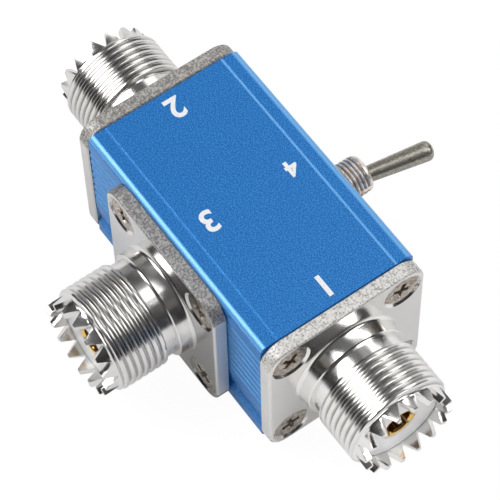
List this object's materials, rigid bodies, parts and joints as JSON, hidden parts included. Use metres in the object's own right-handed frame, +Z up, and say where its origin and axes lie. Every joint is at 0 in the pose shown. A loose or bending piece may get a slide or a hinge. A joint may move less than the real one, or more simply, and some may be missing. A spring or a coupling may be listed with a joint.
{
  "type": "coaxial antenna switch",
  "caption": "Small blue aluminium box with a threaded coaxial socket on both ends and on one side, and a toggle lever that picks which antenna the transmitter feeds.",
  "frame": {"origin": "centre of the box's resting face, below the crossing of the three socket axes and the toggle axis", "axes": "+X through the two antenna sockets, towards the first antenna; +Y out of the toggle lever, away from the transmitter socket; +Z up"},
  "size_m": [0.0732, 0.0586, 0.0254],
  "materials": {
    "upper_shell": "blue anodised, fine satin grain",
    "lower_shell": "blue anodised, fine satin grain",
    "ant1_connector": "satin nickel plate",
    "ant1_insulator": "white PTFE",
    "ant1_contact": "gold plate",
    "ant1_screws": "nickel-plated steel",
    "ant2_connector": "satin nickel plate",
    "ant2_insulator": "white PTFE",
    "ant2_contact": "gold plate",
    "ant2_screws": "nickel-plated steel",
    "tx_connector": "satin nickel plate",
    "tx_insulator": "white PTFE",
    "tx_contact": "gold plate",
    "tx_screws": "nickel-plated steel",
    "toggle_bushing": "nickel-plated brass, dulled",
    "inner_washer": "nickel-plated steel",
    "lock_washer": "nickel-plated steel",
    "outer_nut": "nickel-plated brass",
    "toggle_frame": "bright tinned steel",
    "toggle_case": "moulded phenolic",
    "toggle_lever": "nickel-plated brass, dulled",
    "pivot_pin": "plain steel",
    "plunger": "natural nylon",
    "plunger_spring": "spring steel",
    "rocker_contact": "silver-plated brass",
    "common_terminal": "silver-plated brass",
    "ant1_side_terminal": "silver-plated brass",
    "ant2_side_terminal": "silver-plated brass",
    "terminal_seal": "epoxy resin",
    "ant1_wire": "tinned copper",
    "ant2_wire": "tinned copper",
    "tx_wire": "tinned copper"
  },
  "bodies": {
    "housing": {"upper_shell": "upper_shell", "lower_shell": "lower_shell", "ant1_connector": "ant1_connector", "ant1_insulator": "ant1_insulator", "ant1_contact": "ant1_contact", "ant1_screws": "ant1_screws", "ant2_connector": "ant2_connector", "ant2_insulator": "ant2_insulator", "ant2_contact": "ant2_contact", "ant2_screws": "ant2_screws", "tx_connector": "tx_connector", "tx_insulator": "tx_insulator", "tx_contact": "tx_contact", "tx_screws": "tx_screws", "toggle_bushing": "toggle_bushing", "inner_washer": "inner_washer", "lock_washer": "lock_washer", "outer_nut": "outer_nut", "toggle_frame": "toggle_frame", "toggle_case": "toggle_case", "pivot_pin": "pivot_pin", "common_terminal": "common_terminal", "ant1_side_terminal": "ant1_side_terminal", "ant2_side_terminal": "ant2_side_terminal", "terminal_seal": "terminal_seal", "ant1_wire": "ant1_wire", "ant2_wire": "ant2_wire", "tx_wire": "tx_wire"},
    "lever": {"toggle_lever": "toggle_lever", "plunger_spring": "plunger_spring"},
    "plunger": {"plunger": "plunger"},
    "rocker": {"rocker_contact": "rocker_contact"}
  },
  "joints": [
    {"name": "lever_throw", "type": "hinge", "parent": "housing", "child": "lever", "pos_m": [0, 0.016, 0.0127], "axis": [0, 0, 1], "range_deg": [0, 22]},
    {"name": "rocker_tilt", "type": "hinge", "parent": "housing", "child": "rocker", "pos_m": [0, 0.0032, 0.0127], "axis": [0, 0, 1], "range_deg": [-18, 0]},
    {"name": "plunger_stroke", "type": "slide", "parent": "lever", "child": "plunger", "axis": [0.1908, 0.9816, 0], "range_m": [0, 0.00025], "stiffness_N_per_m": 100, "springref_m": -0.0005}
  ],
  "couplings": [
    {"joint": "rocker_tilt", "follows": "lever_throw", "ratio": -0.81818}
  ]
}
